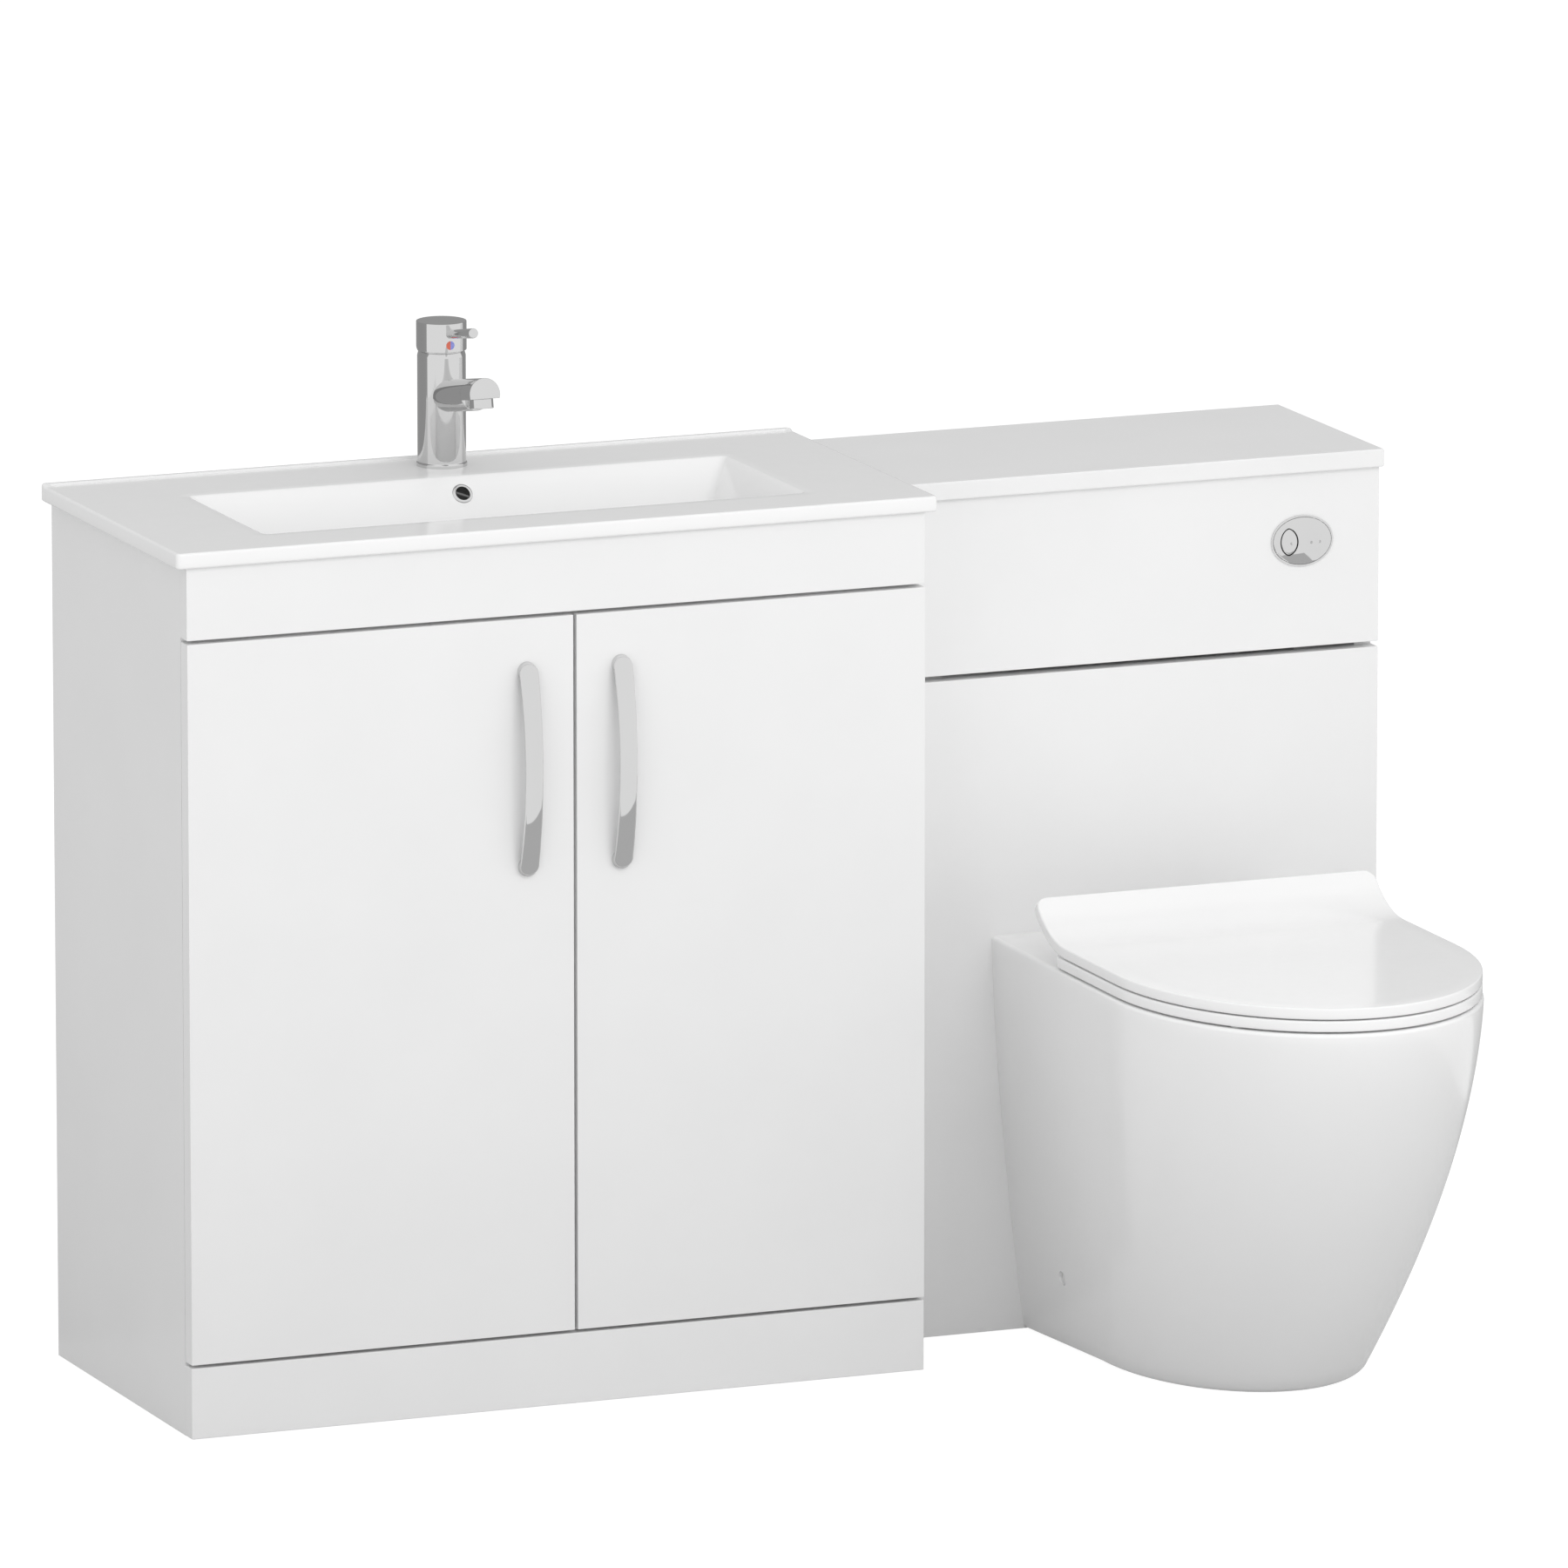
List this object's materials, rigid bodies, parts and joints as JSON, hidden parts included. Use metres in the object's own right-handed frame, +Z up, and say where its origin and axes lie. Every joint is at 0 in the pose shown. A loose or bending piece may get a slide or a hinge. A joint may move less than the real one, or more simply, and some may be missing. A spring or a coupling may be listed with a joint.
{
  "type": "toilet and basin combination unit",
  "caption": "White vanity cabinet with a ceramic slab basin and a pin-lever mixer tap, joined to a shallower cabinet that hides the cistern behind a back-to-wall toilet pan with seat and lid.",
  "frame": {"origin": "middle of the unit's footprint, on the floor", "axes": "+X to the right seen from the front, +Y towards the wall behind, +Z up"},
  "size_m": [1.3144, 0.7986, 1.0204],
  "materials": {
    "white_board": "smooth white gloss foil",
    "basin_ceramic": "white glaze",
    "pan_ceramic": "white glaze",
    "seat_plastic": "gloss",
    "white_plastic": "satin",
    "grey_plastic": "satin",
    "clear_rubber": "soft matte",
    "chrome": "mirror polish",
    "steel": "satin zinc",
    "brass": "machined"
  },
  "bodies": {
    "unit": {"vanity_side_left": "white_board", "vanity_side_right": "white_board", "vanity_base": "white_board", "vanity_front_rail": "white_board", "vanity_back_rails": "white_board", "vanity_shelf": "white_board", "shelf_pins": "steel", "fascia": "white_board", "plinth": "white_board", "hinge_arms": "steel", "basin": "basin_ceramic", "overflow_ring": "chrome", "waste_body": "chrome", "waste_nuts": "white_plastic", "trap_body": "white_plastic", "trap_cup": "white_plastic", "tap_body": "chrome", "tap_aerator": "chrome", "tap_cartridge": "brass", "tap_fixing": "steel", "wc_side_left": "white_board", "wc_side_right": "white_board", "wc_front_rail": "white_board", "wc_back_rail": "white_board", "cistern_shelf": "white_board", "worktop": "white_board", "upper_panel": "white_board", "lower_panel": "white_board", "button_collar": "chrome", "button_backnut": "white_plastic", "flush_cable": "grey_plastic", "cistern_tank": "white_plastic", "cistern_lid": "white_plastic", "flush_valve": "white_plastic", "fill_valve": "white_plastic", "flush_pipe": "white_plastic", "pan": "pan_ceramic", "soil_connector": "white_plastic", "pan_fixings": "steel", "hinge_posts": "chrome"},
    "door_left": {"door_left": "white_board", "handle_left": "chrome", "hinge_cups_left": "steel"},
    "door_right": {"door_right": "white_board", "handle_right": "chrome", "hinge_cups_right": "steel"},
    "waste_plug": {"waste_plug": "chrome"},
    "tap_turret": {"tap_turret": "brass", "tap_pivot_pin": "steel"},
    "tap_handle": {"tap_spindle": "brass", "tap_cap": "chrome", "tap_lever": "chrome"},
    "full_button": {"full_flush_button": "chrome"},
    "half_button": {"half_flush_button": "chrome"},
    "valve_lifter": {"valve_lifter": "grey_plastic"},
    "float": {"fill_float": "grey_plastic"},
    "seat": {"seat": "seat_plastic", "seat_buffers": "clear_rubber"},
    "lid": {"lid": "seat_plastic"}
  },
  "joints": [
    {"name": "left_door_swing", "type": "hinge", "parent": "unit", "child": "door_left", "pos_m": [-0.64575, 0.02125, 0.427], "axis": [0, 0, -1], "range_deg": [0, 105]},
    {"name": "right_door_swing", "type": "hinge", "parent": "unit", "child": "door_right", "pos_m": [0.11725, 0.02125, 0.427], "axis": [0, 0, 1], "range_deg": [0, 105]},
    {"name": "plug_lift", "type": "slide", "parent": "unit", "child": "waste_plug", "axis": [0, 0, 1], "range_m": [0, 0.008]},
    {"name": "tap_swivel", "type": "hinge", "parent": "unit", "child": "tap_turret", "pos_m": [-0.25775, 0.35025, 0.9916], "axis": [0, 0, 1], "range_deg": [-45, 45]},
    {"name": "tap_lift", "type": "hinge", "parent": "tap_turret", "child": "tap_handle", "pos_m": [-0.25775, 0.35025, 0.9916], "axis": [-1, 0, 0], "range_deg": [0, 22]},
    {"name": "full_button_press", "type": "slide", "parent": "unit", "child": "full_button", "axis": [0, 1, 0], "range_m": [0, 0.005], "stiffness_N_per_m": 400, "springref_m": -0.004},
    {"name": "half_button_press", "type": "slide", "parent": "full_button", "child": "half_button", "axis": [0, 1, 0], "range_m": [0, 0.005], "stiffness_N_per_m": 150, "springref_m": -0.004},
    {"name": "valve_lift", "type": "slide", "parent": "unit", "child": "valve_lifter", "axis": [0, 0, 1], "range_m": [0, 0.02]},
    {"name": "float_rise", "type": "slide", "parent": "unit", "child": "float", "axis": [0, 0, 1], "range_m": [0, 0.06]},
    {"name": "seat_swing", "type": "hinge", "parent": "unit", "child": "seat", "pos_m": [0.42025, 0.03325, 0.416], "axis": [-1, 0, 0], "range_deg": [0, 95]},
    {"name": "lid_swing", "type": "hinge", "parent": "seat", "child": "lid", "pos_m": [0.42025, 0.03325, 0.416], "axis": [1, 0, 0], "range_deg": [-95, 0]}
  ],
  "couplings": [
    {"joint": "valve_lift", "follows": "full_button_press", "ratio": 4}
  ]
}
